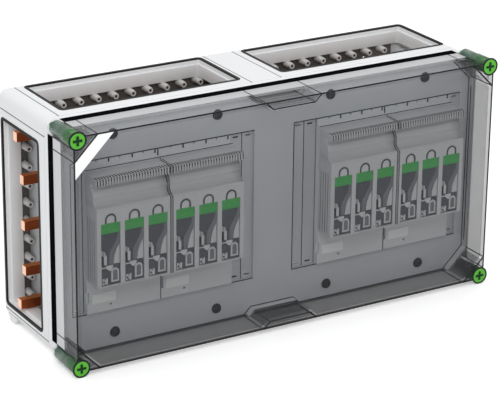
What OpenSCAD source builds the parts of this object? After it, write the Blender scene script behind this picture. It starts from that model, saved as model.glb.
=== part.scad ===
// Insulated distribution enclosure with four three-pole fuse switch disconnectors
// behind a smoked clear lid, for mounting on a wall and joining to like boxes.
// Frame: X to the right, Z up, the wall at y = 0 and the lid towards -Y.

/* [Enclosure] */
// Width over the flange faces
box_w = 600; // [560:1:700]
// Height over the flange faces
box_h = 300; // [285:1:400]
// Depth of the base, wall to joint
base_d = 135; // [133:1:170]
// Depth of the lid, joint to front
lid_d = 70; // [69:1:90]
// Outer corner radius of the base
corner_r = 10; // [6:0.5:10]
// Wall of the base
wall = 3; // [2.5:0.1:4]
// Floor of the base
floor_t = 4; // [3:0.5:5]

/* [Flange openings] */
// Seal length of a top or bottom opening, outside
seal_l = 252; // [200:1:253]
// Seal width, outside
seal_w = 107; // [90:1:108]
// Width of the seal band
seal_band = 4; // [3:0.5:5]
// Seal height proud of the flange
seal_proud = 0.5; // [0.3:0.1:1]
// Depth of the groove that holds the seal
seal_groove = 1.5; // [1:0.5:2.5]
// Corner radius of the seal, outside
seal_r = 7; // [6:0.5:9]
// Depth of the collar behind an opening
collar_d = 23; // [16:1:24]
// Wall of the collar
collar_t = 2.5; // [2:0.1:3.5]
// Step inside the mouth of a collar
mouth_step = 2.5; // [1:0.5:3]
// Depth of the mouth before its step
mouth_d = 7; // [4:0.5:9]
// Gap from the wall plane to the seal
seal_back = 3; // [2.5:0.5:5]
// Left box edge to the left seal
left_margin = 30; // [28:1:34]
// Right box edge to the right seal
right_margin = 8; // [7:1:12]
// Box edge to the seal of a side opening, before the drop
side_room = 24; // [20:1:40]
// Drop of the side openings below the middle
side_drop = 9; // [4:1:9]
// Flange frame beyond the seal, corner side
frame_far = 10; // [8:0.5:12]
// Flange frame beyond the seal, near side
frame_near = 5; // [4:0.5:6]
// Width of the parting groove round a frame
parting_w = 1.6; // [1:0.2:2.2]
// Depth of the parting groove
parting_d = 0.8; // [0.5:0.1:1.2]

/* [Lid] */
// Wall of the lid
lid_t = 3; // [2.5:0.1:3.5]
// Leg of the cut corner that bounds the sealed space
corner_cut = 31; // [29:0.5:34]
// Half width of the middle notch at the rim
notch_half = 39.5; // [34:0.5:46]
// Depth of the middle notch
notch_deep = 9.3; // [8:0.1:11]
// Lid screw centre inside the box edge
screw_in = 4.8; // [4.6:0.1:5.6]
// Outside diameter of a screw tube
tube_d = 23; // [22.4:0.1:24]
// Wall of a screw tube round the head
tube_wall = 1.2; // [1:0.1:2]
// Diameter of a screw shank
shank_d = 7.6; // [6:0.2:8]
// Length of a screw tube
tube_l = 57; // [52:0.5:58]

/* [Cover plate] */
// Plate front in front of the joint
plate_rise = 24; // [20:0.5:26]
// Thickness of the plate
plate_t = 3; // [2.5:0.1:3.5]
// Plug head diameter
plug_d = 13.6; // [12:0.2:14.5]
// Inner plug from the middle of its pair of units
plug_in = 83; // [76:1:90]
// Outer plug from the middle of its pair of units
plug_out = 61; // [54:1:68]
// Box edge to the plugs
plug_drop = 21; // [19:0.5:21.5]

/* [Switch disconnectors] */
// Width of one unit
unit_w = 101.4; // [92:0.2:110]
// Gap between the two units of a pair
unit_gap = 0.6; // [0.5:0.1:1.5]
// Unit wall beyond its outer poles
unit_side = 2.7; // [2.4:0.1:3.2]
// Width of a blanking strip
strip_w = 18; // [16:0.5:18]
// Box side to the outer blanking strip
edge_room = 15.3; // [15:0.1:20]
// Room between the lid and the unit covers
cover_room = 8; // [6:0.5:12]
// Base face in front of the joint
body_rise = 30; // [29:0.5:31]
// Top of a unit cover
hood_top = 88; // [86:0.5:89]
// Bottom of a unit cover
hood_bottom = -51; // [-52:0.5:-50.5]
// Top of the unit base
body_top = 92; // [91:0.5:93]
// Bottom of the unit base
body_bottom = -97; // [-97:0.5:-95]
// Number of vent ribs across a cover
rib_count = 27; // [19:2:29]
// Width of a fuse window
window_w = 26; // [24:0.5:27]
// Top of a fuse window
window_top = 30.6; // [29:0.2:32]
// Cover below the fuse windows
window_sill = 1.5; // [1.2:0.1:3]
// Wall of a unit cover
hood_t = 2.6; // [2.2:0.1:3]
// Largest opening angle of a unit cover
open_angle = 80; // [60:1:85]

/* [Busbars] */
// Height of a bar
bar_h = 12; // [10:0.5:14]
// Thickness of a bar
bar_t = 10; // [8:0.5:10]
// Pitch of the phase bars
bar_pitch = 60; // [56:1:61]
// Phase bar front from the wall
bar_front = 64; // [62:0.5:66]
// Collar to the outer bars
bar_room = 1; // [1:0.5:4]
// Outer bars behind the phase bars
bar_back = 16; // [14:0.5:18]

/* [Fixing] */
// Pitch of the bosses in the floor
boss_pitch = 24.4; // [23:0.1:28]
// Box side to the boss columns and to the left end of the rows
boss_edge = 29; // [27:0.5:32]
// Box side to the right end of the boss rows
boss_end = 42.8; // [40:0.1:46]
// Box edge to the boss rows
boss_drop = 27; // [25:0.5:30]
// Boss height above the floor
boss_h = 17; // [12:0.5:20]
// Wall fixing hole diameter
fix_d = 6.5; // [5:0.5:7]
// Box side to a wall fixing hole
fix_side = 65; // [60:1:70]
// Box top or bottom to a wall fixing hole
fix_edge = 40; // [38:1:44]

/* [Hidden] */
$fn = 48;

eps = 0.01;
gap = 0.3;           // clearance between pieces that are fitted together
fit = 0.1;           // running clearance of a hinge
y_joint = -base_d;
y_front = -base_d - lid_d;
y_plate = y_joint - plate_rise;
y_face = y_front + lid_t + cover_room;
y_body = y_joint - body_rise;
x_in = box_w / 2 - collar_d;
z_in = box_h / 2 - collar_d;

// seal centres and the length of the side seals
seal_half = seal_l / 2;
side_l = box_h - 2 * side_room;
seal_y = -seal_back - seal_w / 2;
top_open_x = [-box_w / 2 + left_margin + seal_half, box_w / 2 - right_margin - seal_half];
side_open_z = -side_drop;

// rim: wall, seal channel, upstand
upstand_t = 2.4;
upstand_h = 13;
channel = 3.6;       // width of the seal channel outside the upstand
shelf_t = 6;
seal_top = upstand_h + 1;
tube_y = y_front + tube_l;
post_r = tube_d / 2;
head_d = tube_d - 2 * (gap + tube_wall);
post_y = tube_y + gap;
tip_y = y_joint - 3;

unit_pitch = unit_w + unit_gap;
pair_half = (unit_pitch + unit_w) / 2;
pair_x = box_w / 2 - edge_room - strip_w - pair_half;
unit_x = [for (s = [-1, 1], k = [-0.5, 0.5]) s * pair_x + k * unit_pitch];
hinge_y = y_body - 6;
hinge_z = hood_bottom + 6;
hinge_r = 6;
pin_r = 2;
window_bottom = hood_bottom + window_sill;
bar_mid_z = side_open_z;
bar_outer = z_in - side_drop - bar_room - bar_h / 2;

white = [0.86, 0.87, 0.88];
grey = [0.72, 0.74, 0.76];
dark = [0.2, 0.21, 0.23];
black = [0.05, 0.05, 0.05];
green = [0.25, 0.65, 0.15];
copper = [0.8, 0.42, 0.22];
silver = [0.75, 0.76, 0.78];
smoke = [0.35, 0.37, 0.4, 0.45];

// a flat shape, drawn in X and Z, from y0 to y1
module along_y(y0, y1) {
    translate([0, y1, 0]) rotate([90, 0, 0]) linear_extrude(y1 - y0) children();
}

// a flat shape, drawn in Y and Z, from x0 to x1
module along_x(x0, x1) {
    translate([x0, 0, 0]) rotate([90, 0, 90]) linear_extrude(x1 - x0) children();
}

// a rectangle with true arcs in its corners, about its centre
module round_rect(w, h, r) {
    union() {
        square([w - 2 * r, h], center = true);
        square([w, h - 2 * r], center = true);
        for (sx = [-1, 1], sz = [-1, 1]) translate([sx * (w / 2 - r), sz * (h / 2 - r)]) circle(r);
    }
}

// outline of the sealed space, set in by d from the outer faces: cut corners, middle notches
function rim(d) = let (
    k = d * (sqrt(2) - 1),
    w = box_w / 2 - d, h = box_h / 2 - d,
    zc = box_h / 2 - corner_cut - k, xc = box_w / 2 - corner_cut - k,
    n = notch_half + k, m = notch_half - notch_deep + k)
    [[w, -zc], [w, zc], [xc, h], [n, h], [m, h - notch_deep], [-m, h - notch_deep], [-n, h],
     [-xc, h], [-w, zc], [-w, -zc], [-xc, -h], [-n, -h], [-m, notch_deep - h],
     [m, notch_deep - h], [n, -h], [xc, -h]];

// a closed strip between two insets of the outline
module rim_ring(d0, d1) {
    difference() {
        polygon(rim(d0));
        polygon(rim(d1));
    }
}

module at_corners() {
    for (sx = [-1, 1], sz = [-1, 1])
        translate([sx * (box_w / 2 - screw_in), 0, sz * (box_h / 2 - screw_in)]) children();
}

module rod_y(x, z, y0, y1, r0, r1) {
    translate([x, y1, z]) rotate([90, 0, 0]) cylinder(h = y1 - y0, r1 = r1, r2 = r0);
}

// places a shape drawn in the left opening's plane, length along X, face up, onto each side
module on_top(i) {
    translate([top_open_x[i], seal_y, box_h / 2]) children();
}
module on_bottom(i) {
    translate([top_open_x[i], seal_y, -box_h / 2]) mirror([0, 0, 1]) children();
}
module on_side(s) {
    mirror([s > 0 ? 0 : 1, 0, 0]) translate([box_w / 2, seal_y, side_open_z]) rotate([0, 90, 0]) children();
}

module slab(l, w, z0, z1, r) {
    translate([0, 0, z0]) linear_extrude(z1 - z0) round_rect(l, w, r);
}

mouth_w = seal_w - 2 * seal_band;
mouth_r = seal_r - seal_band;
inner_w = mouth_w - 2 * mouth_step;

// the next four take the outside length l of the opening's seal
module collar_body(l) {
    inner_l = l - 2 * seal_band - 2 * mouth_step;
    slab(inner_l + 2 * collar_t, inner_w + 2 * collar_t, -collar_d, -wall + eps, mouth_r);
    slab(l + 2, seal_w + 2, -mouth_d - collar_t, -wall + eps, mouth_r);
}

module collar_cut(l) {
    mouth_l = l - 2 * seal_band;
    slab(mouth_l, mouth_w, -mouth_d, 1, mouth_r);
    slab(mouth_l - 2 * mouth_step, inner_w, -collar_d - 1, 1, mouth_r);
}

module seal_ring(l, z1) {
    difference() {
        slab(l, seal_w, -seal_groove, z1, seal_r);
        slab(l - 2 * seal_band, mouth_w, -seal_groove - 1, z1 + 1, mouth_r);
    }
}

// parting grooves across the flange face, one each side of the frame, from wall to ridge
module parting_cuts(l) {
    for (x = [-l / 2 - frame_far, l / 2 + frame_near])
        translate([x - parting_w / 2, ridge_y + ridge_w / 2 - seal_y, -parting_d])
            cube([parting_w, 1 - ridge_y, 2]);
}

module opening_cuts(l) {
    collar_cut(l);
    seal_ring(l, 1);
    parting_cuts(l);
}

module all_collars() {
    for (i = [0, 1]) {
        on_top(i) collar_body(seal_l);
        on_bottom(i) collar_body(seal_l);
    }
    for (s = [-1, 1]) on_side(s) collar_body(side_l);
}

module all_opening_cuts() {
    for (i = [0, 1]) {
        on_top(i) opening_cuts(seal_l);
        on_bottom(i) opening_cuts(seal_l);
    }
    for (s = [-1, 1]) on_side(s) opening_cuts(side_l);
}

ridge_y = y_joint + 9;
ridge_w = 1.2;
ridge_t = 0.6;

module front_ridge_cuts() {
    // the rounded lip between the seals and the joint has a fine step
    for (s = [-1, 1]) {
        translate([-box_w / 2 - 1, ridge_y, s * box_h / 2 - ridge_t])
            cube([box_w + 2, ridge_w, 2 * ridge_t]);
        translate([s * box_w / 2 - ridge_t, ridge_y, -box_h / 2 - 1])
            cube([2 * ridge_t, ridge_w, box_h + 2]);
    }
}

// rows of floor bosses: [first boss, number of bosses]
boss_x = box_w / 2 - boss_edge;
boss_z = box_h / 2 - boss_drop;
mid_room = 12;       // floor left free beside the middle carrier
right_start = 80;    // where the right row may start
boss_left_n = floor((boss_x - mid_room) / boss_pitch) + 1;
boss_right_n = floor((box_w / 2 - boss_end - right_start) / boss_pitch) + 1;
boss_rows = [[-boss_x, boss_left_n],
    [box_w / 2 - boss_end - (boss_right_n - 1) * boss_pitch, boss_right_n]];
boss_col_n = 9;

module boss_shape(x, z) {
    rod_y(x, z, -floor_t - boss_h, -floor_t + eps, 3.8, 5);
}
module boss_hole(x, z) {
    rod_y(x, z, -floor_t - boss_h - 1, -floor_t - boss_h + 12, 1.9, 1.9);
}
module at_bosses(hole) {
    for (s = [-1, 1]) {
        for (row = boss_rows, i = [0:row[1] - 1])
            if (hole) boss_hole(row[0] + i * boss_pitch, s * boss_z);
            else boss_shape(row[0] + i * boss_pitch, s * boss_z);
        for (i = [1:boss_col_n])
            if (hole) boss_hole(s * boss_x, boss_z - i * 2 * boss_z / (boss_col_n + 1));
            else boss_shape(s * boss_x, boss_z - i * 2 * boss_z / (boss_col_n + 1));
    }
}

plug_z = box_h / 2 - plug_drop;
plug_places = [for (sx = [-1, 1], sz = [-1, 1], x = [pair_x - plug_in, pair_x + plug_out])
    [sx * x, sz * plug_z]];
collar_front = seal_y - inner_w / 2 - collar_t;
plug_post_r = 6;
plug_bore_r = 2.6;
plug_len = 22;

foot_r = 15;
foot_t = 6;
foot_in = 1.5;       // foot inside the box side
foot_y = -18;
foot_z = -box_h / 2 + screw_in - tube_d / 2;

// rounded feet at the rear bottom corners, as low as the screw tubes in front
module rear_feet() {
    for (sx = [-1, 1]) intersection() {
        translate([sx * (box_w / 2 - foot_t / 2 - foot_in), foot_y, foot_z + foot_r])
            rotate([0, 90, 0]) cylinder(h = foot_t, r = foot_r, center = true);
        translate([-box_w / 2, -foot_r - corner_r + foot_y, -box_h])
            cube([box_w, foot_r + corner_r - foot_y, box_h / 2 + wall]);
    }
}

module base_shell() {
    color(white) difference() {
        union() {
            difference() {
                along_y(y_joint, 0) round_rect(box_w, box_h, corner_r);
                along_y(y_joint - 1, -floor_t)
                    round_rect(box_w - 2 * wall, box_h - 2 * wall, corner_r - wall);
            }
            intersection() {
                along_y(y_joint, 0) round_rect(box_w - 1, box_h - 1, corner_r - 0.5);
                all_collars();
            }
            // shelf round the front, with the upstand that carries the lid seal
            along_y(y_joint, y_joint + shelf_t) difference() {
                round_rect(box_w, box_h, corner_r);
                polygon(rim(lid_t + channel + upstand_t));
            }
            along_y(y_joint - upstand_h, y_joint + eps)
                rim_ring(lid_t + channel, lid_t + channel + upstand_t);
            // corner posts for the lid screws
            intersection() {
                along_y(post_y, y_joint + 2) round_rect(box_w, box_h, corner_r);
                at_corners() rod_y(0, 0, post_y, y_joint + 2, post_r, post_r);
            }
            for (p = plug_places)
                rod_y(p[0], p[1], y_plate + plate_t + 0.2, collar_front + 1, plug_post_r, plug_post_r);
            at_bosses(false);
            rear_feet();
        }
        all_opening_cuts();
        front_ridge_cuts();
        at_corners() rod_y(0, 0, post_y - 1, tip_y + 1, shank_d / 2 + gap, shank_d / 2 + gap);
        for (p = plug_places)
            rod_y(p[0], p[1], y_plate, y_plate + plug_len + 2, plug_bore_r, plug_bore_r);
        at_bosses(true);
        for (sx = [-1, 1], sz = [-1, 1])
            rod_y(sx * (box_w / 2 - fix_side), sz * (box_h / 2 - fix_edge), -floor_t - 1, 1,
                  fix_d / 2, fix_d / 2);
    }
}

module top_seals() {
    color(black) for (i = [0, 1]) on_top(i) seal_ring(seal_l, seal_proud);
}
module bottom_seals() {
    color(black) for (i = [0, 1]) on_bottom(i) seal_ring(seal_l, seal_proud);
}
module side_seals() {
    color(black) for (s = [-1, 1]) on_side(s) seal_ring(side_l, seal_proud);
}

lid_end = y_joint - gap;
bore_step = 30;      // where the wide bore of a screw tube ends

module lid() {
    color(smoke) difference() {
        union() {
            difference() {
                union() {
                    translate([-box_w / 2, y_front, -box_h / 2]) cube([box_w, lid_end - y_front, box_h]);
                    at_corners() rod_y(0, 0, y_front, tube_y, tube_d / 2, tube_d / 2);
                }
                // sealed space
                along_y(y_front + lid_t, y_joint) polygon(rim(lid_t));
                // corner chambers, middle chambers
                along_y(y_front + lid_t, y_joint) difference() {
                    square([box_w - 2 * lid_t, box_h - 2 * lid_t], center = true);
                    polygon(rim(0));
                }
            }
            at_corners() rod_y(0, 0, y_front, tube_y, tube_d / 2, tube_d / 2);
        }
        at_corners() {
            rod_y(0, 0, y_front - 1, y_front + bore_step, head_d / 2 + gap, head_d / 2 + gap);
            rod_y(0, 0, y_front, tube_y + 1, shank_d / 2 + gap, shank_d / 2 + gap);
            rod_y(0, 0, tube_y, y_joint + 1, post_r + gap, post_r + gap);
        }
    }
}

module lid_seal() {
    color(black) along_y(y_joint - seal_top, y_joint) rim_ring(lid_t + gap, lid_t + channel - 0.1);
}

band_t = 0.2;
band_leg = corner_cut + 21.5;

// bare white band across the top left corner of the lid front
module label_band() {
    x0 = -box_w / 2;
    z0 = box_h / 2;
    color("white") along_y(y_front - band_t, y_front) polygon([
        [x0 + corner_cut, z0 - 0.5], [x0 + 0.5, z0 - corner_cut],
        [x0 + 0.5, z0 - band_leg], [x0 + band_leg, z0 - 0.5]]);
}

screw_place = [[-1, 1], [1, 1], [-1, -1], [1, -1]];

module lid_screw(i) {
    head_t = 4.5;
    recess = 3.2;
    color(green) translate([screw_place[i][0] * (box_w / 2 - screw_in), 0,
                            screw_place[i][1] * (box_h / 2 - screw_in)])
    difference() {
        union() {
            rod_y(0, 0, y_front + 0.3, y_front + head_t, head_d / 2, head_d / 2);
            rod_y(0, 0, y_front + head_t - eps, y_front + bore_step - 5, 5.5, 6.5);
            rod_y(0, 0, y_front + bore_step - 9, y_front + bore_step - gap, 8, 8);
            rod_y(0, 0, y_front + bore_step - 1, tip_y, shank_d / 2, shank_d / 2);
        }
        for (a = [0, 90]) rotate([0, a, 0])
            translate([-6, y_front - 1, -1.4]) cube([12, recess + 1.3, 2.8]);
        rod_y(0, 0, y_front - 1, y_front + recess + 0.3, 2.6, 2.6);
    }
}

module lid_screw_1() { lid_screw(0); }
module lid_screw_2() { lid_screw(1); }
module lid_screw_3() { lid_screw(2); }
module lid_screw_4() { lid_screw(3); }

// a field in the plate holds two units and their blanking strips
strip_in = min(strip_w, (pair_x - pair_half) / 2 - 1.2);
strip_seat = 1.5;    // plate in front of a strip's edge
field_in = pair_x - pair_half - 2 * strip_in + strip_seat;
field_out = pair_x + pair_half + strip_w - strip_seat;
field_top = body_top + 8;
field_bottom = body_bottom - 1.5;

module cover_plate() {
    skirt_in = lid_t + channel + upstand_t + 0.6;
    color(grey) difference() {
        union() {
            along_y(y_plate, y_plate + plate_t) polygon(rim(lid_t + 0.6));
            along_y(y_plate + eps, y_joint + 1) rim_ring(skirt_in, skirt_in + 2);
        }
        for (s = [-1, 1]) mirror([s > 0 ? 0 : 1, 0, 0])
            translate([field_in, y_plate - 1, field_bottom])
                cube([field_out - field_in, plate_t + 2, field_top - field_bottom]);
        for (p = plug_places) {
            rod_y(p[0], p[1], y_plate - 1, y_plate + plate_t + 1, plug_bore_r + 0.4, plug_bore_r + 0.4);
            rod_y(p[0], p[1], y_plate + plate_t + 0.1, y_joint + 2, plug_post_r + 0.6, plug_post_r + 0.6);
        }
    }
}

module plate_plugs() {
    color(dark) for (p = plug_places) difference() {
        union() {
            rod_y(p[0], p[1], y_plate - 1.8, y_plate, plug_d / 2 - 0.6, plug_d / 2);
            rod_y(p[0], p[1], y_plate - eps, y_plate + plug_len, plug_bore_r - 0.1, plug_bore_r - 0.1);
        }
        rod_y(p[0], p[1], y_plate - 3, y_plate - 0.9, plug_d / 2 - 2.2, plug_d / 2 - 2.2);
        translate([p[0] - plug_d / 2 + 3.2, y_plate - 3, p[1] - 0.7]) cube([plug_d - 6.4, 2.9, 1.4]);
    }
}

module blanking_strips() {
    strip_t = 2.5;
    over = 2.5;
    y0 = y_plate + plate_t + 0.2;
    slot_w = 8;
    first = pair_x - pair_half;
    last = pair_x + pair_half;
    strips = [[first - 2 * strip_in, strip_in], [first - strip_in, strip_in], [last, strip_w]];
    color(grey) for (s = [-1, 1], p = strips)
        mirror([s > 0 ? 0 : 1, 0, 0]) difference() {
            translate([p[0] + 0.15, y0, field_bottom - over])
                cube([p[1] - 0.3, strip_t, field_top - field_bottom + 2 * over]);
            for (z = [field_bottom + 5, field_top - 7])
                translate([p[0] + (p[1] - slot_w) / 2, y0 - 1, z]) cube([slot_w, strip_t + 2, 2.2]);
        }
}

module bar(z, y0) {
    color(copper) translate([-box_w / 2, y0, z - bar_h / 2]) cube([box_w, bar_t, bar_h]);
}
module phase_bars() {
    for (k = [-1, 0, 1]) bar(bar_mid_z + k * bar_pitch, -bar_front);
}
module neutral_bar() { bar(bar_mid_z + bar_outer, -bar_front + bar_back); }
module earth_bar() { bar(bar_mid_z - bar_outer, -bar_front + bar_back); }

support_x = [-box_w / 2 + 40, 0, box_w / 2 - 55];
support_t = 10;

// comb-shaped carriers: scalloped between the bars, each bar in its own slot
module bar_supports() {
    low = bar_mid_z - bar_outer - bar_h / 2;
    high = bar_mid_z + bar_outer + bar_h / 2 + 2;
    color(grey) for (x = support_x) along_x(x - support_t / 2, x + support_t / 2) difference() {
        union() {
            translate([-bar_front + bar_t, low]) square([bar_front - bar_t - floor_t, high - low]);
            for (k = [-1.5, -0.5, 0.5, 1.5])
                translate([-bar_front + 14, bar_mid_z + k * bar_pitch]) circle(r = 20);
            for (k = [-1, 0, 1])
                translate([-bar_front, bar_mid_z + k * bar_pitch - 13]) square([bar_t + 2, 26]);
        }
        for (k = [-1, 0, 1])
            translate([-bar_front - 9, bar_mid_z + k * bar_pitch - bar_h / 2 - 0.1])
                square([bar_t + 9.1, bar_h + 0.2]);
        for (s = [-1, 1])
            translate([-bar_front - 20, bar_mid_z + s * bar_outer - bar_h / 2 - (s > 0 ? 0.1 : 5)])
                square([20 + bar_back + bar_t + 0.1, bar_h + (s > 0 ? 0.2 : 5.1)]);
        for (s = [-1, 1])
            translate([-bar_front - 20, bar_mid_z + s * (bar_outer + bar_h / 2) - (s > 0 ? 0 : 40)])
                square([26 + bar_back, 40]);
    }
}

pole_pitch = (unit_w - 2 * unit_side) / 3;
pole_x = [-pole_pitch, 0, pole_pitch];
cavity_half = pole_pitch * 1.5 - 1.2;
cavity_top = body_top - 18;
cavity_bottom = hood_bottom + 8;
chamber_d = 36;
cavity_floor = y_body + chamber_d;
body_back = -bar_front - 7;
lug_x = cavity_half - 6;
jaw_y0 = y_body + 2;
blade_y0 = y_body + 1;
blade_w = 15;
blade_half = 3;
jaw_h = 8;
jaw_low = cavity_bottom + 4;
fuse_half = 24;
fuse_z = jaw_low + 13 + fuse_half;
fuse_reach = 39.5;
fuse_y0 = y_body - 9;
fuse_d = 30;
fuse_w = pole_pitch - 6;
jaw_top = fuse_z + fuse_half + 8;
leaf_t = 1.8;
strap_w = 9.8;
strap_t = 3;
strap_y = cavity_floor + 22;
up_strap_y = -bar_front - 15;
clamp_w = 16;
clamp_d = 20;
clamp_h = 18;
clamp_bore_r = 6;
clamp_z = body_bottom + 11;
entry_r = 9;

// moulded housing: front frame, pole chambers, hinge lugs, hollow behind
module switch_base(i) {
    w = unit_w - 0.4;
    color(grey) translate([unit_x[i], 0, 0]) difference() {
        union() {
            along_y(y_body, y_plate)
                translate([-w / 2, body_bottom + 1]) square([w, body_top - body_bottom - 2]);
            along_y(y_plate, y_plate + plate_t)
                translate([-w / 2, body_bottom]) square([w, body_top - body_bottom + 7]);
            along_y(y_plate + plate_t - eps, body_back)
                translate([-w / 2, body_bottom + 4]) square([w, body_top - body_bottom - 8]);
            for (s = [-1, 1]) along_x(s * (lug_x - 2) - 2, s * (lug_x - 2) + 2) union() {
                translate([hinge_y, hinge_z]) circle(4.4);
                translate([hinge_y, hinge_z - 4.4]) square([y_body - hinge_y + 1, 8.8]);
            }
            for (s = [-1, 1]) translate([s > 0 ? lug_x - 1 : -lug_x - 3, hinge_y, hinge_z])
                rotate([0, 90, 0]) cylinder(h = 4, r = pin_r);
        }
        // pole chambers, open to the front
        for (x = pole_x) translate([x - pole_pitch / 2 + 0.7, y_body - 1, cavity_bottom])
            cube([pole_pitch - 1.4, cavity_floor - y_body + 1, cavity_top - cavity_bottom]);
        // vent slots over the chambers
        for (x = pole_x, k = [-2:2]) translate([x + k * 5 - 1.2, y_plate + plate_t + 4, cavity_top - 1])
            cube([2.4, 22, body_top - cavity_top + 2]);
        // hollow behind the chambers
        translate([-w / 2 + 3, cavity_floor + 4, body_bottom + 8])
            cube([w - 6, 100, body_top - body_bottom - 16]);
        // slots for the straps
        for (x = pole_x, z = [jaw_top, jaw_low])
            translate([x - strap_w / 2 - 0.5, cavity_floor - 1, z - 1]) cube([strap_w + 1, 8, jaw_h + 2]);
        // cable entries below
        for (x = pole_x) translate([x, strap_y + 12, body_bottom - 1]) cylinder(h = 12, r = entry_r);
        // release slot, fixing hole and clip notches of the front frame
        translate([-w / 2 - 1, y_body - 1, body_bottom + 15]) cube([4.2, 5, 15]);
        rod_y(-18, body_bottom + 9, y_body - 1, y_body + 4, 1.6, 1.6);
        for (x = [-34, -2, 30]) translate([x, y_plate - 1, body_top + 4.6]) cube([2, plate_t + 2, 4]);
    }
}
module switch_base_1() { switch_base(0); }
module switch_base_2() { switch_base(1); }
module switch_base_3() { switch_base(2); }
module switch_base_4() { switch_base(3); }

// two spring leaves on a foot that passes through the chamber floor to its strap
module jaw(x, z0, y_strap) {
    for (s = [-1, 1]) translate([x + s * (blade_half + gap + leaf_t / 2) - leaf_t / 2, jaw_y0, z0])
        cube([leaf_t, cavity_floor - jaw_y0 + 1, jaw_h]);
    translate([x - strap_w / 2, cavity_floor - 4, z0]) cube([strap_w, y_strap - cavity_floor + 4, jaw_h]);
}

// each pole: upper jaw to its bar, lower jaw to its cable clamp
module contacts(i) {
    color(silver) translate([unit_x[i], 0, 0]) for (p = [0, 1, 2]) {
        bar_z = bar_mid_z + (1 - p) * bar_pitch;
        z0 = min(bar_z - 5, jaw_top);
        z1 = max(bar_z + 5, jaw_top + jaw_h);
        union() {
            jaw(pole_x[p], jaw_top, up_strap_y);
            translate([pole_x[p] - strap_w / 2, up_strap_y - strap_t, z0])
                cube([strap_w, strap_t + eps, z1 - z0]);
            translate([pole_x[p] - strap_w / 2, up_strap_y, bar_z - 5])
                cube([strap_w, -bar_front - up_strap_y, 10]);
        }
        union() {
            jaw(pole_x[p], jaw_low, strap_y);
            translate([pole_x[p] - strap_w / 2, strap_y - strap_t, clamp_z + 2])
                cube([strap_w, strap_t, jaw_low + jaw_h - clamp_z - 2]);
            difference() {
                translate([pole_x[p] - clamp_w / 2, strap_y - eps, clamp_z])
                    cube([clamp_w, clamp_d, clamp_h]);
                translate([pole_x[p], strap_y + 11, clamp_z - 4]) cylinder(h = 15, r = clamp_bore_r);
            }
        }
    }
}
module contacts_1() { contacts(0); }
module contacts_2() { contacts(1); }
module contacts_3() { contacts(2); }
module contacts_4() { contacts(3); }

lip_bottom = hood_top - 9;
grip_deep = 15;
grip_foot = 48;
lip_r = 4;
recess_d = 4;
face_t = 7;
vent_w = 1.7;

// side profile of a cover, in Y and Z: face, hollow grip under the lip, rounded lip
module hood_profile() {
    depth = y_body - y_face - 1;
    difference() {
        union() {
            translate([y_face, hood_bottom]) square([depth - 6, hood_top - hood_bottom - lip_r]);
            translate([y_face + lip_r, hinge_z]) square([depth - lip_r, hood_top - hinge_z]);
            translate([y_face + lip_r, hood_top - lip_r]) circle(lip_r);
            translate([hinge_y, hinge_z]) circle(hinge_r - 0.4);
        }
        // concave grip: a slope with an arc, deepest under the lip
        polygon([[y_face - 1, grip_foot], [y_face, grip_foot], [y_face + grip_deep - 4, lip_bottom - 9],
                 [y_face + grip_deep, lip_bottom - 5], [y_face + grip_deep, lip_bottom],
                 [y_face - 1, lip_bottom]]);
        translate([y_face + 1, grip_foot + 10.5]) circle(r = 8);
    }
}

module switch_cover(i) {
    w = unit_w - 0.4;
    rib_pitch = w / rib_count;
    color(grey) translate([unit_x[i], 0, 0]) union() {
        difference() {
            along_x(-w / 2, w / 2) hood_profile();
            // hollow behind the face, with room behind the grip
            translate([-w / 2 + hood_t, y_face + face_t, hood_bottom + 11])
                cube([w - 2 * hood_t, 60, grip_foot - 3 - hood_bottom - 11]);
            translate([-w / 2 + hood_t, y_face + grip_deep + hood_t, grip_foot - 10])
                cube([w - 2 * hood_t, 60, hood_top - hood_t - grip_foot + 10]);
            // room for the hinge lugs
            for (s = [-1, 1]) translate([s * (lug_x - 2) - 2.5, y_face + face_t, hood_bottom - 1])
                cube([5, 60, 13]);
            translate([-lug_x + 4.4, hinge_y - 8, hood_bottom - 1]) cube([2 * lug_x - 8.8, 60, 13]);
            for (s = [-1, 1]) translate([s > 0 ? lug_x : -lug_x - 3.4, hinge_y, hinge_z])
                rotate([0, 90, 0]) cylinder(h = 3.4, r = pin_r + fit);
            // vent slots over the lip
            for (k = [0:rib_count - 1])
                translate([-w / 2 + (k + 0.5) * rib_pitch - vent_w / 2, y_face - 1, 0]) {
                    translate([0, 0, lip_bottom - 1]) cube([vent_w, 2.2, 20]);
                    translate([0, 0, hood_top - 1.4]) cube([vent_w, 10, 3]);
                }
            // windows with a round head
            for (x = pole_x) along_y(y_face - 1, y_face + recess_d) translate([x, 0]) union() {
                translate([-window_w / 2, window_bottom]) square([window_w, window_top - window_bottom]);
                translate([0, window_top + 4.6]) circle(7.7);
                translate([-7.7, window_top - 1]) square([15.4, 5.6]);
            }
            // grooves down both sides, slit over the middle pole
            for (s = [-1, 1], k = [0:3])
                translate([s > 0 ? w / 2 - 0.8 : -w / 2 - 0.2, y_face + 7 + k * 5.5, hood_bottom + 5])
                    cube([1, 1.6, 80]);
            translate([-7, y_face - 1, window_top + 18]) cube([14, 2, 1.1]);
        }
        // light inserts that stand in the windows
        for (x = pole_x) along_y(y_face + 1.4, y_face + recess_d + eps) translate([x, 0]) window_islands();
        // arms that hold the fuse links
        for (x = pole_x, s = [-1, 1])
            translate([x + s * (fuse_w / 2 + 0.95) - 0.65, y_face + face_t - 1, fuse_z - 14])
                cube([1.3, fuse_y0 + 16 - y_face - face_t + 1, 28]);
        for (x = pole_x) translate([x - 4, y_face + face_t - 1, fuse_z - 10])
            cube([8, fuse_y0 - 0.2 - y_face - face_t + 1, 20]);
    }
}
module switch_cover_1() { switch_cover(0); }
module switch_cover_2() { switch_cover(1); }
module switch_cover_3() { switch_cover(2); }
module switch_cover_4() { switch_cover(3); }

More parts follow.
